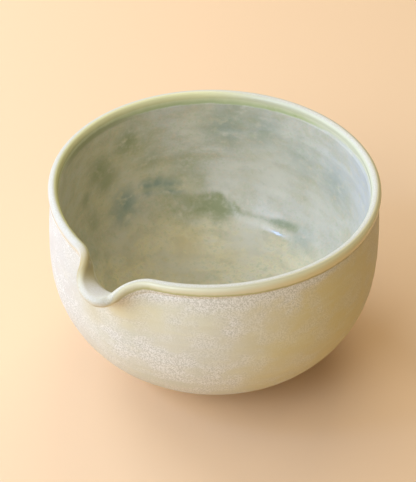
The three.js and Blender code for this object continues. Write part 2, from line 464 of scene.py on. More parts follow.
# The band's crest, which leans a little and is dry and grainy, the speckles in the channel and the
# shoulder on its left.
CREST_SWITCH = (-0.8, 0.6)
CREST_LEAN = 0.012
CREST_LIMITS = (1.4, 0.6)
CREST_YELLOW_LOSS = 0.6
CREST_GRAIN = (0.5, 2, 0.6)
CREST_GRAIN_LIMITS = (0.35, 0.65)
CREST_GRAIN_SHARE = 0.5
CREST_SHARE = 0.9
CREST_CHANNEL_LOSS = 0.3
SPECKLE_LIMITS = (0.6, 0.4)
SPECKLE_SHARE = 0.35
SHOULDER_PATCH = ((-12, -61, 73), 11)
SHOULDER_LIMITS = (2.4, 1.0)

# How glossy the band is: most in a few places at the back, and least on its crest.
BAND_SHINES = (
    ((-11, 56, 73), 6),
    ((0, 58, 73), 6),
    ((31, 49, 75), 8),
)
SHINE_ROUGHNESS = 0.12
BAND_ROUGHNESS = 0.22
BAND_LOW_ROUGHNESS = 0.6
BAND_LOW_LIMITS = (-3.2, -4.4)
DRY_LIMITS = (2.2, 1.0)
DRY_ROUGHNESS = 0.55

# Where the coats meet on the lip, bumps in the glaze, and the bare clay.
INNER_SIDE_LIMITS = (0.3, -0.3)
GLAZE_BUMP = 0.06 * MM
CLAY_CLOUDS = (9, 5, 0.5)
CLAY_GRAIN = (0.6, 4, 0.7)
CLAY_SPECKS = (1.3, 1, 0.5)
CLAY_SPECK_LIMITS = (0.68, 0.74)
CLAY_ROUGHNESS = 0.88
CLAY_BUMP = 0.12 * MM


def round_wall(widest, drop, fullness, angle):
    """Points (radius, height) on a superellipse, from the widest point at angle 0 to the axis."""
    across = widest[0] * np.maximum(np.cos(angle), 0) ** (2 / fullness)
    down = widest[1] - drop * np.sin(angle) ** (2 / fullness)
    return np.column_stack([across, down])


def spaced(points, step):
    """The same line, with points an even step apart."""
    lengths = np.r_[0, np.cumsum(np.linalg.norm(np.diff(points, axis=0), axis=1))]
    count = max(2, int(round(lengths[-1] / step)) + 1)
    even = np.linspace(0, lengths[-1], count)
    return np.column_stack([np.interp(even, lengths, points[:, axis]) for axis in (0, 1)])


def leaning(start, end, upright):
    """A shallow curve between two points that is upright at one of them."""
    share = np.linspace(0, 1, LEAN_POINTS)[:, None]
    control = np.array([upright[0], (start[1] + end[1]) / 2])
    return (1 - share) ** 2 * start + 2 * share * (1 - share) * control + share ** 2 * end


def necks():
    """The outer and the inner point (radius, height) of the neck below the lip."""
    outer = np.array([RIM_RADIUS - NECK_INSET, HEIGHT - OUTER_NECK_DROP])
    inner = np.array([RIM_RADIUS - NECK_INSET - NECK_THICKNESS, HEIGHT - INNER_NECK_DROP])
    return outer, inner


def outer_wall():
    """From the foot up to the neck below the lip."""
    belly = np.array([BELLY_RADIUS, BELLY_HEIGHT])
    share = (SEAT_RADIUS / BELLY_RADIUS) ** OUTER_FULLNESS
    drop = (BELLY_HEIGHT - FOOT_HEIGHT) / (1 - share) ** (1 / OUTER_FULLNESS)
    seat_angle = math.acos(math.sqrt(share))
    low = round_wall(belly, drop, OUTER_FULLNESS, np.linspace(seat_angle, 0, OUTER_POINTS))
    neck, _ = necks()
    return spaced(np.vstack([low, leaning(belly, neck, belly)[1:]]), SECTION_STEP)


def lip():
    """From the outer neck over the round bead to the inner neck."""
    neck, inner_neck = necks()
    outside = np.array([RIM_RADIUS, BEAD_HEIGHT])
    inside = np.array([MIDDLE_RADIUS - LIP_RADIUS, BEAD_HEIGHT])
    turn = np.linspace(0, math.pi, BEAD_STEPS + 1)
    bead = np.column_stack([
        MIDDLE_RADIUS + LIP_RADIUS * np.cos(turn),
        BEAD_HEIGHT + LIP_RADIUS * np.sin(turn),
    ])
    below = leaning(neck, outside, outside)[::LEAN_SKIP]
    beyond = leaning(inside, inner_neck, inside)[::-LEAN_SKIP][::-1]
    return np.vstack([below, bead[1:-1], beyond])


def inner_wall():
    """From the inner neck down to the middle of the floor."""
    _, neck = necks()
    belly = np.array([BELLY_RADIUS - BELLY_THICKNESS, BELLY_HEIGHT])
    fall = BELLY_HEIGHT - FOOT_HEIGHT - FLOOR_THICKNESS
    low = round_wall(belly, fall, INNER_FULLNESS, np.linspace(0, math.pi / 2, INNER_POINTS))
    low[-1, 0] = 0
    return spaced(np.vstack([leaning(neck, belly, belly), low[1:]]), SECTION_STEP)


def outline(tip, shoulder, share):
    """One side of the rim's middle line, for shares of its length from the pouring lip's tip.

    Three arcs follow each other: the tip, the shoulder that bends the other way, and the round rim.
    """
    to_tip = MIDDLE_RADIUS + SPOUT_REACH - tip
    to_shoulder = MIDDLE_RADIUS + shoulder
    between = tip + shoulder
    start = math.acos((to_shoulder ** 2 + to_tip ** 2 - between ** 2) / (2 * to_shoulder * to_tip))
    shoulder_x = to_shoulder * math.sin(start)
    shoulder_y = -to_shoulder * math.cos(start)
    turn = math.atan2(shoulder_x, -(shoulder_y + to_tip))
    tip_end = tip * turn
    shoulder_end = tip_end + shoulder * (turn - start)
    total = shoulder_end + MIDDLE_RADIUS * (math.pi - start)
    along = total * share
    tip_angle = along / tip
    shoulder_angle = turn - (along - tip_end) / shoulder
    rim_angle = start + (along - shoulder_end) / MIDDLE_RADIUS
    tip_arc = (tip * np.sin(tip_angle), -to_tip - tip * np.cos(tip_angle))
    shoulder_arc = (
        shoulder_x - shoulder * np.sin(shoulder_angle),
        shoulder_y + shoulder * np.cos(shoulder_angle),
    )
    rim_arc = (MIDDLE_RADIUS * np.sin(rim_angle), -MIDDLE_RADIUS * np.cos(rim_angle))
    beyond_tip = np.where(along < shoulder_end, shoulder_arc, rim_arc)
    x, y = np.where(along < tip_end, tip_arc, beyond_tip)
    return x, y, total


def rim_columns(count):
    """For each column: the lip's middle line, the channel's below it, and the plain circle's angle."""
    parts = []
    for side, sign in ((0, -1), (1, 1)):
        share = np.linspace(0, 1, count // 2 + 1) ** COLUMN_CROWDING
        x, y, total = outline(LIP_TIP_RADII[side], LIP_SHOULDER_RADII[side], share)
        low_x, low_y, _ = outline(CHANNEL_TIP_RADII[side], CHANNEL_SHOULDER_RADII[side], share)
        along = total * share
        spare = total - math.pi * MIDDLE_RADIUS
        eased = spare * (1 - np.exp(-along / CIRCLE_EASE)) / (1 - math.exp(-total / CIRCLE_EASE))
        angle = (along - eased) / MIDDLE_RADIUS
        parts.append((sign * x, y, sign * low_x, low_y, sign * angle))
    left, right = parts
    return np.column_stack([np.r_[a[:0:-1], b[:-1]] for a, b in zip(left, right)])


def faded(law, depth):
    """A law of the depth below the rim: 1 at the rim and nothing at the foot."""
    least = law(WALL_DEPTH)
    return (law(depth) - least) / (1 - least)


def flared(depth):
    return (1 + depth / SPOUT_FLARE) ** -2


def sagging(depth):
    return np.exp(-(depth / RIM_SAG_DEPTH) ** 2)


def unit(directions):
    return directions / np.linalg.norm(directions, axis=2, keepdims=True)


def evened(directions):
    """Unit directions, each averaged with its neighbours so that a tight bend doesn't fold."""
    directions = unit(directions)
    for _ in range(EVENING_ROUNDS):
        before = np.roll(directions, 1, axis=0)
        after = np.roll(directions, -1, axis=0)
        directions = unit(before + 2 * directions + after)
    return directions


def pulled(section, columns):
    """Section points swept round the columns, with the pouring lip drawn out of the wall."""
    lip_line = columns[:, None, 0:2]
    channel = columns[:, None, 2:4]
    angle = columns[:, 4]
    circle = MIDDLE_RADIUS * np.column_stack([np.sin(angle), -np.cos(angle)])[:, None, :]
    out = np.clip((np.linalg.norm(lip_line, axis=2) - MIDDLE_RADIUS) / SPOUT_REACH, 0, 1)
    sag = RIM_SAG * np.exp(-(angle / RIM_SAG_SPREAD) ** 2)[:, None]

    def middle(height):
        """The wall's middle line at a height. It fades from the lip into the plain circle."""
        depth = np.maximum(BEAD_HEIGHT - height, 0)
        reach = faded(flared, depth)[None]
        rounder = (1 - np.exp(-depth / CHANNEL_DEPTH))[None, :, None]
        line = lip_line + (channel - lip_line) * rounder
        flat = circle + (line - circle) * reach[..., None]
        drop = SPOUT_DIP * out * reach + sag * faded(sagging, depth)[None]
        return np.dstack([flat, height[None] - drop])

    height = np.minimum(section[:, 1], BEAD_HEIGHT)
    here = middle(height)
    rising = unit(here - middle(height - TINY))
    upright = ((1 - faded(flared, BEAD_HEIGHT - height)) ** UPRIGHT_POWER)[None, :, None]
    rising = unit(rising + (np.array([0, 0, 1.0]) - rising) * upright)
    along = np.roll(here, -1, axis=0) - np.roll(here, 1, axis=0)
    square = evened(np.cross(along, rising))
    near_axis = np.maximum(1 - (section[:, 0] / MIDDLE_RADIUS)[None, :, None] ** 2, 0)
    plain = 1 - (1 - upright) * (1 - near_axis)
    radial = np.concatenate([circle / MIDDLE_RADIUS, np.zeros_like(circle[..., :1])], axis=2)
    square += (radial - square) * plain
    across = (section[:, 0] - MIDDLE_RADIUS)[None, :, None]
    above = (section[:, 1] - height)[None, :, None]
    points = here + across * square + above * rising
    points[:, section[:, 0] < TINY, :2] = 0
    points[..., 1] += AXIS_Y
    return points


def wheel_marks(section, columns, depth, pitch, slant):
    """How far throwing rings and the hand's unevenness move the surface, at each column and point."""
    angle = columns[:, 4][:, None]
    height = section[:, 1][None]
    fade = np.clip((HEIGHT - OUTER_NECK_DROP - height) / RING_FADE, 0, 1)
    rings = np.cos(2 * math.pi * height / pitch + slant * angle)
    fine_turn = 2 * math.pi * height / (pitch * FINE_RING_PITCH_SHARE)
    rings += FINE_RING_SHARE * np.cos(fine_turn + slant * angle + FINE_RING_PHASE)
    oval = np.cos(2 * angle + OVAL_PHASE)
    triangle = np.cos(3 * angle + TRIANGLE_PHASE + height / TRIANGLE_TWIST)
    wobble = WOBBLE * (1 + oval + TRIANGLE_SHARE * (1 + triangle))
    return fade * (depth * rings - wobble)


def normals(points):
    """Unit directions square to a swept surface, pointing away from the clay."""
    along = np.roll(points, -1, axis=0) - np.roll(points, 1, axis=0)
    across = np.gradient(points, axis=1)
    square = np.cross(along, across)
    length = np.linalg.norm(square, axis=2, keepdims=True)
    return square / np.maximum(length, 1e-12)


def swept_mesh(name, points, closed, **layers):
    """A mesh from a grid of points, with a value per point for each named layer.

    The sections are loops where closed is set.
    """
    columns, rows = points.shape[:2]
    mesh = bpy.data.meshes.new(name)
    index = np.arange(columns * rows).reshape(columns, rows)
    beside = np.roll(index, -1, axis=0)
    if closed:
        corners = [index, beside, np.roll(beside, -1, axis=1), np.roll(index, -1, axis=1)]
    else:
        corners = [index[:, :-1], beside[:, :-1], beside[:, 1:], index[:, 1:]]
    quads = np.stack(corners, axis=-1).reshape(-1, 4)
    mesh.from_pydata(points.reshape(-1, 3).tolist(), [], quads.tolist())
    for layer, values in layers.items():
        values = np.broadcast_to(values, (columns, rows)).astype(np.float32)
        mesh.attributes.new(layer, "FLOAT", "POINT").data.foreach_set("value", values.ravel())
    weld(mesh)
    mesh.shade_smooth()
    piece = bpy.data.objects.new(name, mesh)
    bpy.context.scene.collection.objects.link(piece)
    return piece


def weld(mesh):
    """Joins the points that meet on the axis, and marks the cut edges of a coat as sharp."""
    work = bmesh.new()
    work.from_mesh(mesh)
    bmesh.ops.remove_doubles(work, verts=work.verts, dist=TINY)
    bmesh.ops.recalc_face_normals(work, faces=work.faces)
    for edge in work.edges:
        if len(edge.link_faces) == 2 and edge.calc_face_angle() > SHARP_ANGLE:
            edge.smooth = False
    work.to_mesh(mesh)
    work.free()


def crest_distances(section):
    """Distance along the section, falling from the outside inwards, and 0 at its highest point."""
    lengths = np.r_[0, np.cumsum(np.linalg.norm(np.diff(section, axis=0), axis=1))]
    return lengths[np.argmax(section[:, 1])] - lengths


def coat(name, section, crest, columns, marks, pool_and_highlight=0.0):
    """A glaze coat: its fine outer surface, and a plainer back that lies in the wall."""
    surface = pulled(section, columns)
    away = normals(surface)
    surface = surface + marks[..., None] * away
    kept = np.r_[np.arange(0, len(section) - 1, BACK_SKIP), len(section) - 1]
    back = (surface - GLAZE * away)[:, kept]
    points = np.concatenate([surface, back[:, ::-1]], axis=1)
    pool_and_highlight = np.broadcast_to(pool_and_highlight, surface.shape[:2])
    layers = {
        CREST: np.r_[crest, crest[kept][::-1]] / MM,
        POOL_AND_HIGHLIGHT: np.concatenate([pool_and_highlight, pool_and_highlight[:, kept][:, ::-1]], axis=1),
    }
    return swept_mesh(name, points, closed=True, **layers)


def smooth_step(value, low, high):
    """0 below low, 1 above high, and a smooth way between."""
    share = np.clip((value - low) / (high - low), 0, 1)
    return share * share * (3 - 2 * share)


def within(value, span):
    """1 in the middle of a span and 0 beyond its ends."""
    begin, full, fading, end = span
    return smooth_step(value, begin, full) * (1 - smooth_step(value, fading, end))


def bell(distance, width):
    return np.exp(-(distance / width) ** 2)


def pooled_glaze_and_painted_highlight(turned, above, height):
    """How green the pooled glaze is along the finger's ridge; below 0, how strong the pale painted
    highlight on its crest is.
    """
    weak = within(turned, LINE_WEAK_SPAN)
    line = within(turned, LINE_SPAN) * (1 - LINE_WEAKNESS * weak)
    line = line * bell(above - LINE_LIFT, LINE_WIDTH - LINE_THINNING * weak)
    pond = within(turned, POND_SPAN) * (1 - POND_FADE * smooth_step(turned, *POND_FADING))
    pond = pond * smooth_step(-above, *POND_TOP) * smooth_step(height, *POND_FOOT)
    pale = PALE_SHARE * within(turned, PALE_SPAN) * bell(above - PALE_LIFT, PALE_WIDTH)
    return np.maximum(line, pond) - pale


def throwing_ridge(section, columns):
    """A ridge that a finger left on the inside, how green the glaze is along it, and the pale painted
    highlight on its crest.

    It runs round the far side of the bowl, and drops by a step part of the way.
    """
    angle = np.degrees(columns[:, 4])[:, None]
    turned = np.where(angle > 90, angle - 360, angle)
    from_step = (turned - RIDGE_STEP_ANGLE) / RIDGE_STEP_SPREAD
    step = (RIDGE_HIGH_HEIGHT - RIDGE_LOW_HEIGHT) * smooth_step(from_step, -1, 1)
    high_climb = HIGH_CLIMB * np.maximum(turned - HIGH_CLIMB_START, 0)
    low_climb = LOW_CLIMB * np.maximum(LOW_CLIMB_START - turned, 0)
    height = section[:, 1][None]
    above = height - (RIDGE_LOW_HEIGHT + step + high_climb + low_climb)
    hollow = HOLLOW_SHARE * bell(above + HOLLOW_DROP, HOLLOW_WIDTH)
    ridge = RIDGE_RISE * within(turned, RIDGE_SPAN) * (bell(above, RIDGE_WIDTH) - hollow)
    return ridge, pooled_glaze_and_painted_highlight(turned, above, height)


def make_glaze(columns):
    """The three coats, which meet edge to edge."""
    outer, bead, inner = outer_wall(), lip(), inner_wall()
    bead_crest = crest_distances(bead)
    outer_crest = crest_distances(outer) + bead_crest[0]
    inner_crest = crest_distances(inner) + bead_crest[-1]
    outer_marks = wheel_marks(outer, columns, OUTSIDE_RING_DEPTH, OUTSIDE_RING_PITCH, 1)
    inner_marks = wheel_marks(inner, columns, INSIDE_RING_DEPTH, INSIDE_RING_PITCH, -1)
    ridge, pool_and_highlight = throwing_ridge(inner, columns)
    inner_marks = (inner_marks + ridge) * smooth_step(inner[:, 0], 0, MARKLESS_RADIUS)
    no_marks = np.zeros((len(columns), len(bead)))
    return {
        "outer_glaze": coat("outer_glaze_coat", outer, outer_crest, columns, outer_marks),
        "rim_glaze": coat("rim_glaze_coat", bead, bead_crest, columns, no_marks),
        "inner_glaze": coat("inner_glaze_coat", inner, inner_crest, columns, inner_marks, pool_and_highlight),
    }


class Finish:
    """One material, and short ways to add shader nodes to it."""

    def __init__(self, name):
        self.material = bpy.data.materials.new(name)
        self.material.use_nodes = True
        self.tree = self.material.node_tree
        self.shader = self.tree.nodes["Principled BSDF"]

    def add(self, kind, inputs, **settings):
        node = self.tree.nodes.new("ShaderNode" + kind)
        for name, value in settings.items():
            setattr(node, name, value)
        for key, value in inputs.items():
            self.feed(node.inputs[key], value)
        return node

    def feed(self, target, value):
        if isinstance(value, bpy.types.NodeSocket):
            self.tree.links.new(value, target)
        else:
            target.default_value = value

    def math(self, operation, first, second=0.0):
        return self.add("Math", {0: first, 1: second}, operation=operation).outputs[0]

    def vector(self, operation, place, other, output=0):
        return self.add("VectorMath", {0: place, 1: other}, operation=operation).outputs[output]

    def scaled(self, place, scale):
        return self.add("VectorMath", {0: place, "Scale": scale}, operation="SCALE").outputs[0]

    def product(self, first, *others):
        for other in others:
            first = self.math("MULTIPLY", first, other)
        return first

    def total(self, first, *others):
        for other in others:
            first = self.math("ADD", first, other)
        return first

    def less(self, first, second):
        return self.math("SUBTRACT", first, second)

    def most(self, first, second):
        return self.math("MAXIMUM", first, second)

    def size(self, value):
        return self.math("ABSOLUTE", value)

    def place(self):
        """The point on the bowl, in millimetres from the middle of its foot."""
        where = self.add("TexCoord", {}).outputs["Object"]
        return self.scaled(self.vector("SUBTRACT", where, (0, AXIS_Y, 0)), 1 / MM)

    def noise(self, place, size, detail, roughness, stretch=None):
        """Cloudy values from 0 to 1."""
        if stretch is not None:
            place = self.vector("MULTIPLY", place, stretch)
        inputs = {"Vector": place, "Scale": 1 / size, "Detail": detail, "Roughness": roughness}
        return self.add("TexNoise", inputs).outputs["Fac"]

    def step(self, value, limits):
        """0 at the first limit, 1 at the second, and a smooth way between."""
        inputs = {"Value": value, "From Min": limits[0], "From Max": limits[1]}
        return self.add("MapRange", inputs, interpolation_type="SMOOTHSTEP").outputs["Result"]

    def over(self, base, tint, *shares):
        """The base with a tint laid over it, by the product of the shares."""
        inputs = {0: self.product(*shares), 6: base, 7: tint}
        return self.add("Mix", inputs, data_type="RGBA").outputs[2]

    def blend(self, share, first, second):
        return self.add("Mix", {0: share, 2: first, 3: second}, data_type="FLOAT").outputs[0]

    def attribute(self, name):
        return self.add("Attribute", {}, attribute_name=name).outputs["Fac"]

    def towards(self, place, side):
        """How far the place lies towards a side."""
        return self.vector("DOT_PRODUCT", place, side, "Value")

    def bent(self, place, size, amount):
        """The place moved about softly, by up to about half the amount."""
        cloud = self.add("TexNoise", {"Vector": place, "Scale": 1 / size, "Detail": BEND_DETAIL})
        centred = self.vector("SUBTRACT", cloud.outputs["Color"], (0.5, 0.5, 0.5))
        return self.vector("ADD", place, self.scaled(centred, amount))

    def patch(self, place, centre, radius):
        """1 in the middle of a round patch, 0 outside it."""
        return self.step(self.vector("DISTANCE", place, centre, "Value"), (radius, 0))

    def bump(self, height, distance):
        return self.add("Bump", {"Height": height, "Distance": distance}).outputs["Normal"]

    def finish(self, colour, roughness, normal=None):
        self.feed(self.shader.inputs["Base Color"], colour)
        self.feed(self.shader.inputs["Roughness"], roughness)
        if normal is not None:
            self.feed(self.shader.inputs["Normal"], normal)
        return self.material


def strongest(f, place, patches, least):
    """The strongest of some patches, and never less than the least."""
    for centre, radius, strength in patches:
        least = f.most(f.product(f.patch(place, centre, radius), strength), least)
    return least


def clouded(f, base, place, clouds, tint):
    """The base with soft clouds of one tint."""
    for centre, radius, strength in clouds:
        base = f.over(base, tint, f.patch(place, centre, radius), strength)
    return base


def wavering(f, place, waves):
    """How far a wavy edge strays from its middle."""
    return f.product(f.less(f.noise(place, *waves), 0.5), BAND_WAVE_HEIGHT)


def outer_edge(f, place):
    """How far the wall lies below the lip's band of glaze outside."""
    widening = f.product(f.most(f.towards(place, BAND_WIDE_SIDE), BAND_NARROWEST), BAND_WIDENING)
    below = f.less(f.total(f.attribute(CREST), wavering(f, place, BAND_WAVES)), BAND_EDGE)
    return f.less(below, widening)


def fringe(f, place):
    """How dense the grain is just below the band, and less so where the band is narrow."""
    edge = outer_edge(f, place)
    side = f.towards(place, BAND_WIDE_SIDE)
    wide = f.product(f.step(edge, WIDE_FRINGE_LIMITS), WIDE_FRINGE_SHARE)
    loss = f.product(f.step(side, THIN_FRINGE_LIMITS), THIN_FRINGE_LOSS)
    around = f.total(f.step(side, FRINGE_END), loss)
    return f.product(f.total(f.step(edge, FRINGE_LIMITS), wide), around)


def grain_share(f, place, bent, ochre):
    """How grainy the glaze is outside."""
    patches = f.step(f.noise(place, *GRAIN_PATCHES), GRAIN_PATCH_LIMITS)
    grainy = strongest(f, bent, GRAINY_CLOUDS, LEAST_GRAIN)
    smoother = f.less(1.0, f.product(ochre, OCHRE_SMOOTHNESS))
    grainy = f.product(grainy, f.total(patches, LEAST_PATCH), smoother)
    return f.step(f.total(grainy, fringe(f, place)), GRAINY_LIMITS)


def outside_look(f, place):
    """Matte cream glaze, ochre on one side, with dense pale grain below the lip and low down, and painted
    shade under the pouring lip's right shoulder.
    """
    bent = f.bent(place, *WALL_BEND)
    clouds = f.noise(place, *WALL_CLOUDS)
    streaks = f.noise(place, *WALL_STREAKS)
    ochre_place = f.total(f.towards(bent, OCHRE_SIDE), f.product(clouds, OCHRE_RAGGEDNESS))
    ochre = f.step(ochre_place, OCHRE_LIMITS)
    lilac = f.step(f.towards(bent, LILAC_SIDE), LILAC_LIMITS)
    base = f.over(WALL_CREAM, WALL_GREENISH, f.step(clouds, GREENISH_LIMITS))
    base = f.over(base, WALL_LILAC, lilac, LILAC_SHARE)
    base = clouded(f, base, bent, PALE_CLOUDS, WALL_PALE)
    base = f.over(base, WALL_OCHRE, ochre)
    base = f.over(base, WALL_PALE, f.step(streaks, STREAK_LIMITS), STREAK_SHARE)
    grainy = grain_share(f, place, bent, ochre)
    grain = f.noise(place, *GRAIN)
    grains = f.over(GRAIN_DARK, GRAIN_PALE, f.step(grain, GRAIN_LIMITS))
    base = f.over(base, grains, grainy, GRAIN_SHARE)
    # Painted shade under the pouring lip's right shoulder, and one darker ochre patch.
    base = clouded(f, base, place, PAINTED_SHADE_AND_STAIN_CLOUDS, WALL_PAINTED_SHADE_AND_STAIN)
    return base, f.blend(grainy, SMOOTH_WALL_ROUGHNESS, GRAINY_WALL_ROUGHNESS), grain


def along_wheel(f, section, bent):
    """The bent place with its height given along the section, and stretched along the wheel's turn."""
    split = f.add("SeparateXYZ", {0: bent})
    across, along, up = [f.product(output, WHEEL_STRETCH) for output in split.outputs]
    return f.add("CombineXYZ", {0: across, 1: along, 2: f.total(section, up)}).outputs[0]


def inside_look(f, place):
    """Satin grey-green glaze, brushed in soft streaks that follow the wheel, and warmer on the floor,
    with a painted bluish sheen near the lip, painted shade in the neck on one side and a painted
    highlight on the ridge's crest.
    """
    section = f.attribute(CREST)
    pool_and_highlight = f.attribute(POOL_AND_HIGHLIGHT)
    bent = f.bent(place, *INSIDE_BEND)
    noises = {
        "streaks": f.noise(along_wheel(f, section, bent), *STREAKS),
        "mottles": f.noise(bent, *MOTTLES),
        "hues": f.noise(place, *HUES),
        "grain": f.noise(place, *INSIDE_GRAIN),
    }
    grey = f.total(f.product(f.towards(place, GREY_SIDE), GREY_LEAN), f.noise(bent, *INSIDE_CLOUDS))
    base = f.over(INSIDE_OLIVE, INSIDE_GREY, f.step(grey, GREY_LIMITS))
    base = f.over(base, INSIDE_FLOOR, f.step(section, FLOOR_LIMITS), FLOOR_SHARE)
    for noise, limits, share, tint in INSIDE_LAYERS:
        base = f.over(base, tint, f.step(noises[noise], limits), share)
    breaks = f.noise(place, *STAIN_AND_SHEEN_BREAKS)
    stain_and_sheen_place = f.bent(place, *STAIN_AND_SHEEN_BEND)
    shown = f.step(breaks, STAIN_AND_SHEEN_BREAK_LIMITS)
    # Real stains, and a painted bluish sheen below the lip.
    for stains_and_sheen, tint in INSIDE_STAINS_AND_SHEEN:
        base = f.over(base, tint, strongest(f, stain_and_sheen_place, stains_and_sheen, 0.0), shown)
    # Painted shade in the neck's fold below the lip, on one side.
    neck = f.product(f.step(section, NECK_TOP), f.step(section, NECK_END))
    neck_side = f.step(f.towards(place, NECK_SIDE), NECK_SIDE_LIMITS)
    base = f.over(base, NECK_PAINTED_SHADE, neck, neck_side, NECK_SHARE)
    green = f.product(pool_and_highlight, f.total(noises["hues"], f.product(breaks, POOL_BREAKS)))
    base = f.over(base, STAIN_GREEN, f.step(green, POOL_LIMITS), POOL_SHARE)
    # A painted highlight along the ridge's crest, where the value is below 0.
    base = f.over(base, INSIDE_OLIVE, f.step(pool_and_highlight, PAINTED_HIGHLIGHT_LIMITS), PAINTED_HIGHLIGHT_SHARE)
    rough = f.blend(noises["streaks"], *STREAK_ROUGHNESS)
    rough = f.blend(f.step(section, NECK_ROUGHNESS_LIMITS), rough, NECK_ROUGHNESS)
    gloss = f.product(f.patch(place, *POOLED_GLOSS), f.step(pool_and_highlight, POOLED_GLOSS_LIMITS))
    return base, f.blend(gloss, rough, POOLED_GLOSS_ROUGHNESS), noises["mottles"]


def inner_band(f, place, section, yellow, channel):
    """The band's colour on the inside of the lip."""
    olive = f.step(f.towards(place, BAND_OLIVE_SIDE), BAND_OLIVE_LIMITS)
    tone = f.over(f.over(LIP_GREY, LIP_YELLOW, yellow), LIP_OLIVE, olive)
    tone = f.over(tone, LIP_CHANNEL, channel)
    low = f.total(section, wavering(f, place, SOFT_WAVES))
    left = f.step(f.towards(place, BAND_WIDE_SIDE), GREEN_END)
    green = f.product(f.step(low, GREEN_LIMITS), f.less(GREEN_SHARE, channel), left)
    tone = f.over(tone, LIP_GREEN, f.most(green, 0.0))
    back = f.step(f.towards(place, BAND_GREEN_SIDE), DEEP_GREEN_SIDE_LIMITS)
    return f.over(tone, LIP_DEEP_GREEN, f.step(low, DEEP_GREEN_LIMITS), back)


def outer_band(f, place, section, channel):
    """The band's colour on the outside of the lip."""
    side = f.towards(place, BAND_WIDE_SIDE)
    gold = f.step(side, GOLD_LIMITS)
    tone = f.over(LIP_PALE, f.over(LIP_CREAM, LIP_GOLD, gold), f.step(side, CREAM_LIMITS))
    tone = f.over(tone, LIP_TIP, channel)
    crease = f.step(f.size(f.less(section, CREASE_DISTANCE)), CREASE_LIMITS)
    tone = f.over(tone, LIP_CREASE, crease, CREASE_SHARE)
    edge = outer_edge(f, place)
    margin = f.over(LIP_MARGIN, LIP_GOLD_MARGIN, gold)
    margin = f.over(LIP_WARM_MARGIN, margin, f.step(side, WARM_MARGIN_END))
    tone = f.over(tone, margin, f.step(edge, MARGIN_LIMITS), MARGIN_SHARE)
    return f.over(tone, LIP_LINE, f.step(edge, LINE_LIMITS), f.step(side, LINE_END), LINE_SHARE)


def crested(f, tone, grain, crest, channel):
    """The band's colour with its dry, grainy crest and the speckles in its channel."""
    grains = f.over(LIP_CREASE, LIP_CREST, CREST_GRAIN_SHARE)
    dry = f.over(grains, LIP_CREST, f.step(grain, CREST_GRAIN_LIMITS))
    share = f.less(CREST_SHARE, f.product(channel, CREST_CHANNEL_LOSS))
    tone = f.over(tone, dry, crest, share)
    speckled = f.over(tone, LIP_CREASE, SPECKLE_SHARE)
    return f.over(tone, speckled, channel, f.step(grain, SPECKLE_LIMITS))


def band_look(f, place):
    """Glossy glaze on the lip: pale on both sides, with an olive margin outside and a dry, grey crest."""
    section = f.attribute(CREST)
    channel = f.patch(place, *CHANNEL_PATCH)
    yellow = f.step(f.towards(place, BAND_YELLOW_SIDE), BAND_YELLOW_LIMITS)
    inner = inner_band(f, place, section, yellow, channel)
    outer = outer_band(f, place, section, channel)
    tone = f.over(inner, outer, f.step(section, CREST_SWITCH))
    lean = f.product(f.towards(place, BAND_WIDE_SIDE), CREST_LEAN)
    from_crest = f.size(f.total(section, lean))
    fading = f.less(1.0, f.product(yellow, CREST_YELLOW_LOSS))
    crest = f.product(f.step(from_crest, CREST_LIMITS), fading)
    grain = f.noise(place, *CREST_GRAIN)
    tone = crested(f, tone, grain, crest, channel)
    shoulder = f.patch(place, *SHOULDER_PATCH)
    tone = f.over(tone, LIP_SHOULDER, shoulder, f.step(section, SHOULDER_LIMITS))
    shine = 0.0
    for where in BAND_SHINES:
        shine = f.most(f.patch(place, *where), shine)
    rough = f.blend(f.step(section, BAND_LOW_LIMITS), BAND_ROUGHNESS, BAND_LOW_ROUGHNESS)
    rough = f.blend(shine, rough, SHINE_ROUGHNESS)
    dull = f.most(f.step(from_crest, DRY_LIMITS), channel)
    return tone, f.blend(dull, rough, DRY_ROUGHNESS), f.product(crest, grain)


def band_share(f, place, inside):
    """1 on the lip, 0 on the wall, with an uneven edge."""
    if not inside:
        return f.step(outer_edge(f, place), BAND_OUTER_LIMITS)
    channel = f.product(f.patch(place, *CHANNEL_PATCH), BAND_CHANNEL_WIDENING)
    back = f.step(f.towards(place, BAND_GREEN_SIDE), BAND_BACK_LIMITS)
    widening = f.total(channel, f.product(back, BAND_BACK_WIDENING))
    low = f.total(f.attribute(CREST), wavering(f, place, BAND_WAVES), widening)
    return f.step(low, BAND_INNER_LIMITS)


def glaze_material(name, part):
    """One coat's finish. The looks are the same functions, so the coats match where they meet."""
    f = Finish(name)
    place = f.place()
    band, gloss, bumps = band_look(f, place)
    if part == "rim":
        inside = f.step(f.attribute(CREST), INNER_SIDE_LIMITS)
        out_base, out_rough, out_grain = outside_look(f, place)
        in_base, in_rough, in_grain = inside_look(f, place)
        base = f.over(out_base, in_base, inside)
        rough = f.blend(inside, out_rough, in_rough)
        grain = f.blend(inside, out_grain, in_grain)
        share = f.blend(inside, band_share(f, place, False), band_share(f, place, True))
    else:
        look = outside_look if part == "outside" else inside_look
        base, rough, grain = look(f, place)
        share = band_share(f, place, part == "inside")
    normal = f.bump(f.blend(share, grain, bumps), GLAZE_BUMP)
    return f.finish(f.over(base, band, share), f.blend(share, rough, gloss), normal)


def stoneware_material(name):
    """Bare fired clay: sandy and dry, with pale clouds and iron specks."""
    f = Finish(name)
    place = f.place()
    base = f.over(CLAY_DARK, CLAY_PALE, f.noise(place, *CLAY_CLOUDS))
    base = f.over(base, CLAY_SPECK, f.step(f.noise(place, *CLAY_SPECKS), CLAY_SPECK_LIMITS))
    return f.finish(base, CLAY_ROUGHNESS, f.bump(f.noise(place, *CLAY_GRAIN), CLAY_BUMP))


def inset(section, depth):
    """The section moved into the wall."""
    along = np.gradient(section, axis=0)
    along /= np.linalg.norm(along, axis=1, keepdims=True)
    return section + depth * np.column_stack([-along[:, 1], along[:, 0]])


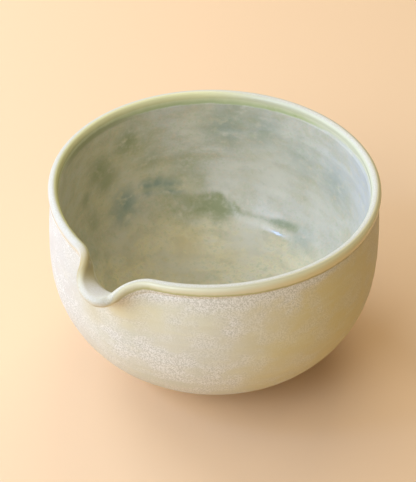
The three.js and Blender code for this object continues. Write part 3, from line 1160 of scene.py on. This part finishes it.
def make_clay_body(columns):
    """The thrown body under the glaze, with its flat turned seat."""
    outer, bead, inner = outer_wall(), lip(), inner_wall()
    line = np.vstack([outer[::BODY_SKIP], bead[1:-1:BEAD_SKIP], inner[::BODY_SKIP]])
    skin = inset(line, GLAZE + CLEARANCE)
    skin[-1] = (0, FOOT_HEIGHT + FLOOR_THICKNESS - GLAZE - CLEARANCE)
    seat = np.array([(0, FOOT_HEIGHT), (SEAT_RADIUS - GLAZE, FOOT_HEIGHT)])
    points = pulled(np.vstack([seat, skin]), columns)
    return swept_mesh("clay_body_skin", points, closed=False)


def make_foot_ring():
    """The turned foot ring, with worn edges on the side that stands on the table."""
    outer = (FOOT_HIGH.x - FOOT_LOW.x) / 2
    low_outer = outer - FOOT_TAPER
    low_inner = low_outer - FOOT_WIDTH
    worn = FOOT_EDGE * FOOT_ROUNDING
    section = np.array([
        (low_inner + FOOT_EDGE, 0),
        (low_outer - FOOT_EDGE, 0),
        (low_outer - worn, worn),
        (low_outer, FOOT_EDGE),
        (outer, FOOT_HEIGHT),
        (low_inner - FOOT_TAPER, FOOT_HEIGHT),
        (low_inner, FOOT_EDGE),
        (low_inner + worn, worn),
    ])
    turn = np.linspace(0, 2 * math.pi, COLUMNS, endpoint=False)[:, None]
    x = section[:, 0] * np.sin(turn)
    y = AXIS_Y - section[:, 0] * np.cos(turn)
    z = np.broadcast_to(section[:, 1], x.shape)
    return swept_mesh("foot_ring_clay", np.dstack([x, y, z]), closed=True)


def make_floor():
    """A plain pale floor."""
    bpy.ops.mesh.primitive_plane_add(size=FLOOR_SIZE)
    floor = bpy.context.object
    floor.name = "floor"
    floor.data.materials.append(Finish("floor").finish(FLOOR_COLOUR, FLOOR_ROUGHNESS))


def make_light(name, place, target, size, power, tint):
    data = bpy.data.lights.new(name, "AREA")
    data.shape = "RECTANGLE"
    data.size, data.size_y = size
    data.energy = power
    data.color = tint
    lamp = bpy.data.objects.new(name, data)
    lamp.location = place
    lamp.rotation_euler = (Vector(place) - Vector(target)).to_track_quat("Z", "Y").to_euler()
    bpy.context.scene.collection.objects.link(lamp)


def seen_from_camera(right, away, up):
    """A place given to the right of, beyond and above the bowl, as the camera sees it."""
    turn = Matrix.Rotation(CAMERA_AZIMUTH, 3, "Z")
    return Vector((0, AXIS_Y, 0)) + turn @ Vector((right, away, up))


def make_lights():
    """The lamps and the room's own light."""
    middle = (0, AXIS_Y, HEIGHT / 2)
    for name, place, size, power, tint in LAMPS:
        make_light(name, seen_from_camera(*place), middle, size, power, tint)
    world = bpy.data.worlds.new("room")
    world.use_nodes = True
    background = world.node_tree.nodes["Background"]
    background.inputs["Color"].default_value = WORLD_COLOUR
    background.inputs["Strength"].default_value = WORLD_STRENGTH
    bpy.context.scene.world = world


def make_camera():
    data = bpy.data.cameras.new("camera")
    data.lens = CAMERA_LENS
    data.clip_start = CAMERA_CLIP
    camera = bpy.data.objects.new("camera", data)
    back = Vector((0, -math.cos(CAMERA_ELEVATION), math.sin(CAMERA_ELEVATION)))
    turn = Matrix.Rotation(CAMERA_AZIMUTH, 3, "Z")
    place = Vector((0, AXIS_Y, HEIGHT)) + turn @ back * CAMERA_DISTANCE
    aim = (
        Matrix.Rotation(CAMERA_AZIMUTH + CAMERA_YAW, 4, "Z")
        @ Matrix.Rotation(math.pi / 2 - CAMERA_PITCH, 4, "X")
        @ Matrix.Rotation(CAMERA_ROLL, 4, "Z")
    )
    camera.matrix_world = Matrix.Translation(place) @ aim
    bpy.context.scene.collection.objects.link(camera)
    bpy.context.scene.camera = camera


def dress():
    """Makes the bowl's pieces, gives them their finishes and hides the plain solids."""
    columns = rim_columns(COLUMNS)
    parts = {"outer_glaze": "outside", "rim_glaze": "rim", "inner_glaze": "inside"}
    for node, piece in make_glaze(columns).items():
        piece.data.materials.append(glaze_material(node, parts[node]))
        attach(piece, "root")
        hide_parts(node)
    stoneware = stoneware_material("stoneware")
    for node, piece in (("clay_body", make_clay_body(columns)), ("foot_ring", make_foot_ring())):
        piece.data.materials.append(stoneware)
        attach(piece, "root")
        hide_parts(node)


make_camera()
dress()
make_floor()
make_lights()
bpy.context.scene.view_settings.view_transform = "Standard"
